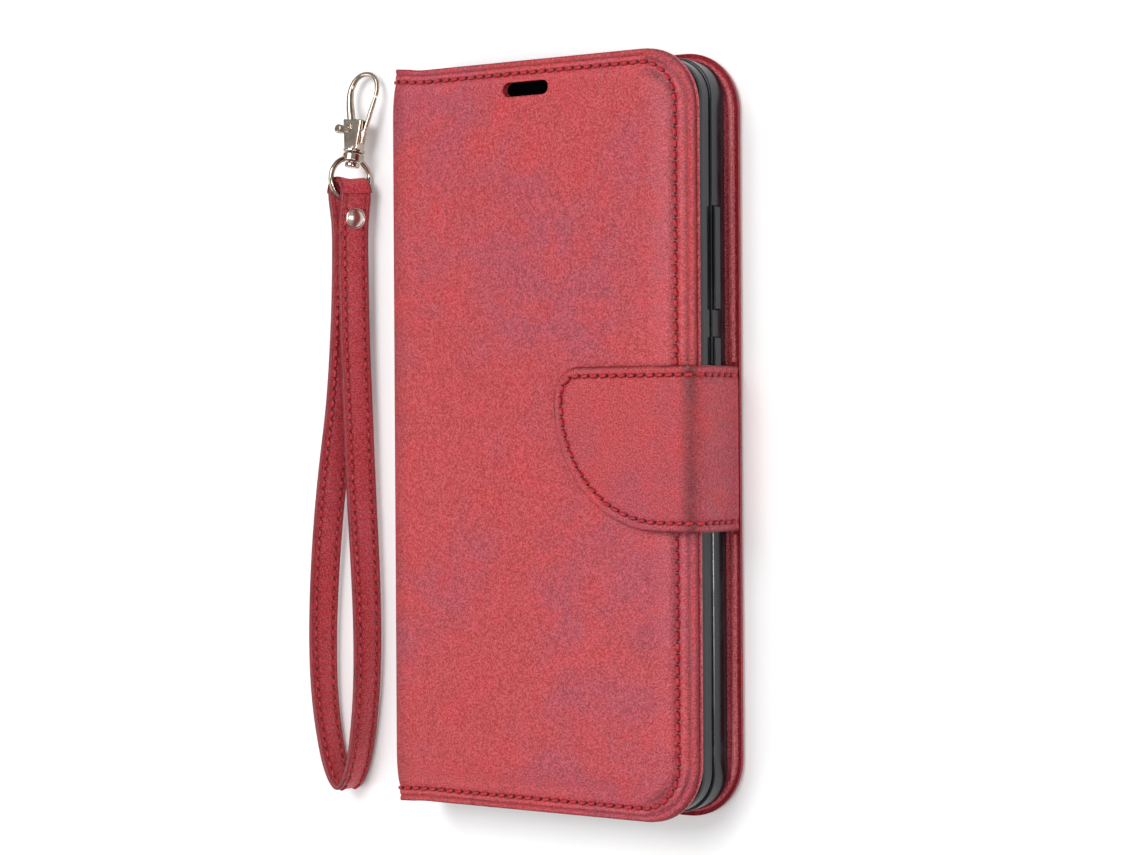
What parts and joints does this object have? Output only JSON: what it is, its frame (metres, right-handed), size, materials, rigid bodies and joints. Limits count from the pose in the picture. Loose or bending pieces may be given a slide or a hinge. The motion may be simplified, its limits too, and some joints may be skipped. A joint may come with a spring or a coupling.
{
  "type": "phone wallet case",
  "caption": "Folio phone wallet case with a magnetic clasp tongue, card pockets, a soft phone tray and a detachable wrist strap with a swivel lobster hook",
  "frame": {"origin": "bottom centre of the case lying on its back, strap left aside", "axes": "+X towards the open side, +Y towards the top of the phone, +Z out of the front cover"},
  "size_m": [0.1156, 0.1662, 0.0172],
  "materials": {
    "leather": "mottled, softly polished",
    "lining": "matt grained",
    "thread": "twisted thread",
    "tray": "glossy soft moulding",
    "board": "plain board",
    "foam": "thin foam",
    "magnet": "plated disc",
    "strap_leather": "mottled, softly polished",
    "nickel": "polished, warm nickel",
    "spring_steel": "wire"
  },
  "bodies": {
    "case_back": {"back_leather": "leather", "back_thread": "thread", "back_board": "board", "back_lining": "lining", "phone_tray": "tray"},
    "spine": {"spine_leather": "leather", "spine_lining": "lining"},
    "front_cover": {"front_leather": "leather", "front_lining": "lining", "front_board": "board", "front_padding": "foam", "front_thread": "thread", "cover_magnet": "magnet", "cash_pocket": "lining", "card_slot_1": "lining", "card_slot_2": "lining", "card_slot_3": "lining", "pocket_thread": "thread"},
    "clasp_side": {"clasp_side_leather": "leather", "clasp_side_lining": "lining"},
    "clasp_tongue": {"tongue_leather": "leather", "tongue_lining": "lining", "tongue_magnet": "magnet", "tongue_thread": "thread"},
    "volume_button": {"volume_button": "tray"},
    "power_button": {"power_button": "tray"},
    "strap": {"strap_band": "strap_leather", "rivet_cap": "nickel", "rivet_post": "nickel"},
    "ring": {"swivel_ring": "nickel"},
    "hook": {"hook_body": "nickel", "gate_pin": "nickel", "gate_spring": "spring_steel"},
    "gate": {"gate_lever": "nickel"}
  },
  "joints": [
    {"name": "spine_fold", "type": "hinge", "parent": "case_back", "child": "spine", "pos_m": [-0.04025, 0, 0.0012], "axis": [0, -1, 0], "range_deg": [0, 90]},
    {"name": "cover_fold", "type": "hinge", "parent": "spine", "child": "front_cover", "pos_m": [-0.04025, 0, 0.0143], "axis": [0, -1, 0], "range_deg": [0, 90]},
    {"name": "clasp_side_fold", "type": "hinge", "parent": "case_back", "child": "clasp_side", "pos_m": [0.0402, -0.00285, 0.0019], "axis": [0, 1, 0], "range_deg": [0, 90]},
    {"name": "clasp_tongue_fold", "type": "hinge", "parent": "clasp_side", "child": "clasp_tongue", "pos_m": [0.0402, -0.00285, 0.01605], "axis": [0, 1, 0], "range_deg": [0, 90]},
    {"name": "volume_press", "type": "slide", "parent": "case_back", "child": "volume_button", "axis": [-1, 0, 0], "range_m": [0, 0.0004], "stiffness_N_per_m": 1500},
    {"name": "power_press", "type": "slide", "parent": "case_back", "child": "power_button", "axis": [-1, 0, 0], "range_m": [0, 0.0004], "stiffness_N_per_m": 1500},
    {"name": "strap_carry", "type": "slide", "parent": "case_back", "child": "strap", "axis": [-1, 0, 0], "range_m": [0, 0.1]},
    {"name": "ring_swing", "type": "hinge", "parent": "strap", "child": "ring", "pos_m": [-0.06182, 0.05448, 0.00543], "axis": [0.3746, 0.0139, -0.9271], "range_deg": [-15, 12]},
    {"name": "hook_swivel", "type": "hinge", "parent": "ring", "child": "hook", "pos_m": [-0.06151, 0.06432, 0.00482], "axis": [0.0625, 0.9882, -0.1398], "continuous": true},
    {"name": "gate_hinge", "type": "hinge", "parent": "hook", "child": "gate", "pos_m": [-0.06277, 0.07135, 0.00384], "axis": [0.0088, 0.1396, 0.9902], "range_deg": [0, 20], "stiffness_Nm_per_rad": 0.02}
  ]
}
